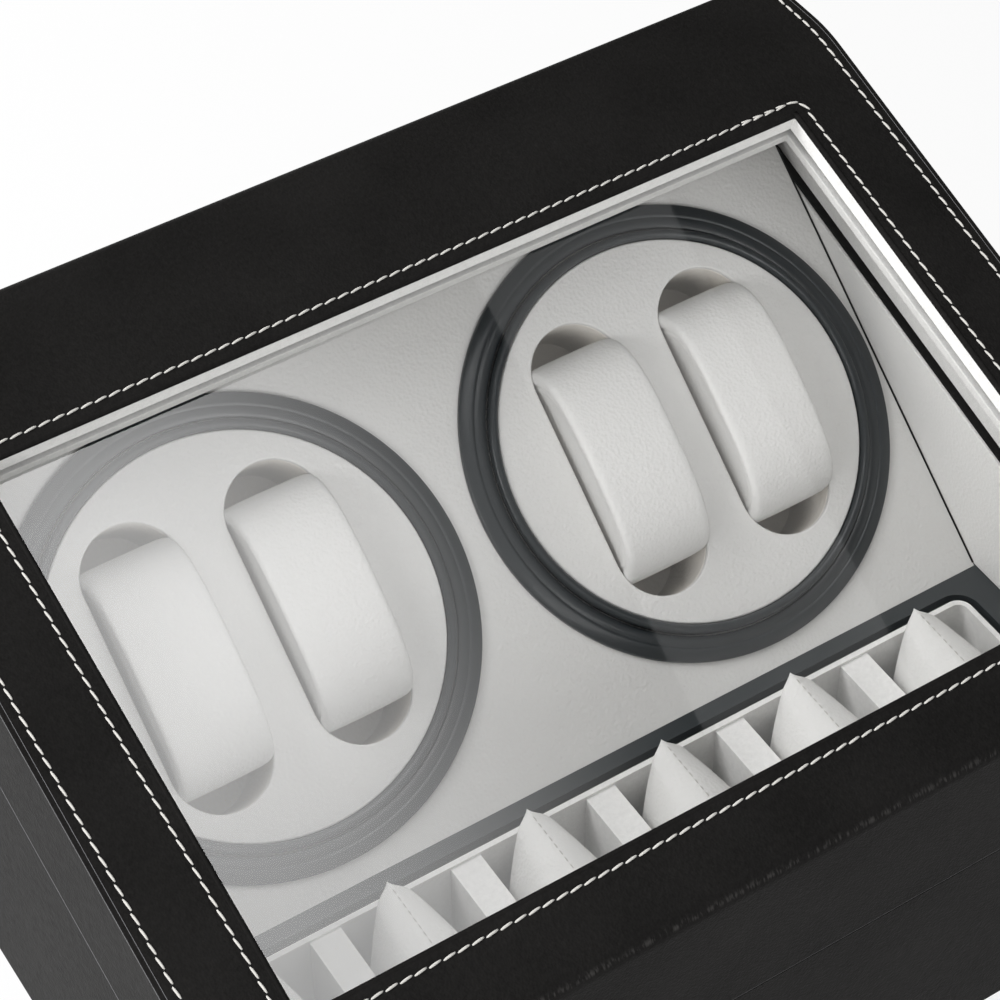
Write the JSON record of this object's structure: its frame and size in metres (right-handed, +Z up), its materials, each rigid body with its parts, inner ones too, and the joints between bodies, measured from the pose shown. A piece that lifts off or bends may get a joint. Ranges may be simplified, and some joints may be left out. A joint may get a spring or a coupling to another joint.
{
  "type": "watch winder box",
  "caption": "Leather-covered watch winder box: sloping glazed lid, tilted geared turntables with oval cuffs, and a tray of padded storage bays.",
  "frame": {"origin": "on the ground, under the middle of the whole outline", "axes": "+X to the right as seen from the front and along the box's width, -Y towards the front, +Z up"},
  "size_m": [0.306, 0.239, 0.1885],
  "materials": {
    "leather": "black grained imitation leather, satin",
    "board": "black covered bottom board",
    "rubber": "matte black rubber",
    "white_lining": "off-white grained imitation leather, matte",
    "suede": "white suede-like lining",
    "grey_gloss": "dark slate grey, glossy",
    "surround": "black, satin gloss",
    "tray": "pale grey flocked",
    "steel": "zinc plated steel",
    "motor": "drawn steel can",
    "bronze": "sintered bronze",
    "circuit_board": "green solder mask",
    "nylon": "natural nylon",
    "black_plastic": "black moulded plastic",
    "glass": "clear pane"
  },
  "bodies": {
    "base": {"base_shell": "leather", "base_floor": "board", "rubber_feet": "rubber", "foot_screws": "steel", "side_lining_left": "white_lining", "side_lining_right": "white_lining", "front_lining": "white_lining", "turntable_panel": "white_lining", "bezel_ring_left": "grey_gloss", "bezel_ring_right": "grey_gloss", "storage_frame": "surround", "storage_tray": "tray", "motor_bracket_left": "steel", "motor_bracket_right": "steel", "bracket_screws": "steel", "gearmotor_left": "motor", "gearmotor_right": "motor", "shaft_bush_left": "bronze", "shaft_bush_right": "bronze", "control_board": "circuit_board", "board_posts": "nylon", "dc_jack": "black_plastic", "switch_housing": "black_plastic", "hinge_leaves_base": "steel", "hinge_pins": "steel", "catch_magnets": "steel"},
    "lid": {"lid_shell": "leather", "window_lining": "suede", "window_glass": "glass", "lid_lining": "suede", "hinge_leaves_lid": "steel", "catch_plates": "steel"},
    "turntable_left": {"drum_left": "grey_gloss", "turntable_disc_left": "white_lining", "pocket_cups_left": "suede", "table_gear_left": "nylon", "table_shaft_left": "steel"},
    "turntable_right": {"drum_right": "grey_gloss", "turntable_disc_right": "white_lining", "pocket_cups_right": "suede", "table_gear_right": "nylon", "table_shaft_right": "steel"},
    "drive_left": {"pinion_left": "nylon"},
    "drive_right": {"pinion_right": "nylon"},
    "switch": {"switch_rocker": "black_plastic"},
    "cuff_1": {"cuff_1": "white_lining"},
    "cuff_2": {"cuff_2": "white_lining"},
    "cuff_3": {"cuff_3": "white_lining"},
    "cuff_4": {"cuff_4": "white_lining"},
    "pillow_1": {"pillow_1": "white_lining"},
    "pillow_2": {"pillow_2": "white_lining"},
    "pillow_3": {"pillow_3": "white_lining"},
    "pillow_4": {"pillow_4": "white_lining"},
    "pillow_5": {"pillow_5": "white_lining"},
    "pillow_6": {"pillow_6": "white_lining"}
  },
  "joints": [
    {"name": "lid_hinge", "type": "hinge", "parent": "base", "child": "lid", "pos_m": [0, 0.11615, 0.14985], "axis": [-1, 0, 0], "range_deg": [0, 100]},
    {"name": "turntable_left_spin", "type": "hinge", "parent": "base", "child": "turntable_left", "pos_m": [-0.0716, 0.03325, 0.1073], "axis": [0, -0.6143, 0.7891], "continuous": true},
    {"name": "pinion_left_spin", "type": "hinge", "parent": "base", "child": "drive_left", "pos_m": [-0.0356, 0.05905, 0.07416], "axis": [0, -0.6143, 0.7891], "continuous": true},
    {"name": "turntable_right_spin", "type": "hinge", "parent": "base", "child": "turntable_right", "pos_m": [0.0716, 0.03325, 0.1073], "axis": [0, -0.6143, 0.7891], "continuous": true},
    {"name": "pinion_right_spin", "type": "hinge", "parent": "base", "child": "drive_right", "pos_m": [0.0356, 0.05905, 0.07416], "axis": [0, -0.6143, 0.7891], "continuous": true},
    {"name": "cuff_1_lift", "type": "slide", "parent": "turntable_left", "child": "cuff_1", "axis": [0, -0.6143, 0.7891], "range_m": [0, 0.03]},
    {"name": "cuff_2_lift", "type": "slide", "parent": "turntable_left", "child": "cuff_2", "axis": [0, -0.6143, 0.7891], "range_m": [0, 0.03]},
    {"name": "cuff_3_lift", "type": "slide", "parent": "turntable_right", "child": "cuff_3", "axis": [0, -0.6143, 0.7891], "range_m": [0, 0.03]},
    {"name": "cuff_4_lift", "type": "slide", "parent": "turntable_right", "child": "cuff_4", "axis": [0, -0.6143, 0.7891], "range_m": [0, 0.03]},
    {"name": "pillow_1_lift", "type": "slide", "parent": "base", "child": "pillow_1", "axis": [0, 0, 1], "range_m": [0, 0.025]},
    {"name": "pillow_2_lift", "type": "slide", "parent": "base", "child": "pillow_2", "axis": [0, 0, 1], "range_m": [0, 0.025]},
    {"name": "pillow_3_lift", "type": "slide", "parent": "base", "child": "pillow_3", "axis": [0, 0, 1], "range_m": [0, 0.025]},
    {"name": "pillow_4_lift", "type": "slide", "parent": "base", "child": "pillow_4", "axis": [0, 0, 1], "range_m": [0, 0.025]},
    {"name": "pillow_5_lift", "type": "slide", "parent": "base", "child": "pillow_5", "axis": [0, 0, 1], "range_m": [0, 0.025]},
    {"name": "pillow_6_lift", "type": "slide", "parent": "base", "child": "pillow_6", "axis": [0, 0, 1], "range_m": [0, 0.025]},
    {"name": "switch_rock", "type": "hinge", "parent": "base", "child": "switch", "pos_m": [0.07, 0.11045, 0.034], "axis": [0, 0, -1], "range_deg": [0, 16]}
  ],
  "couplings": [
    {"joint": "pinion_left_spin", "follows": "turntable_left_spin", "ratio": -5},
    {"joint": "pinion_right_spin", "follows": "turntable_right_spin", "ratio": -5}
  ]
}
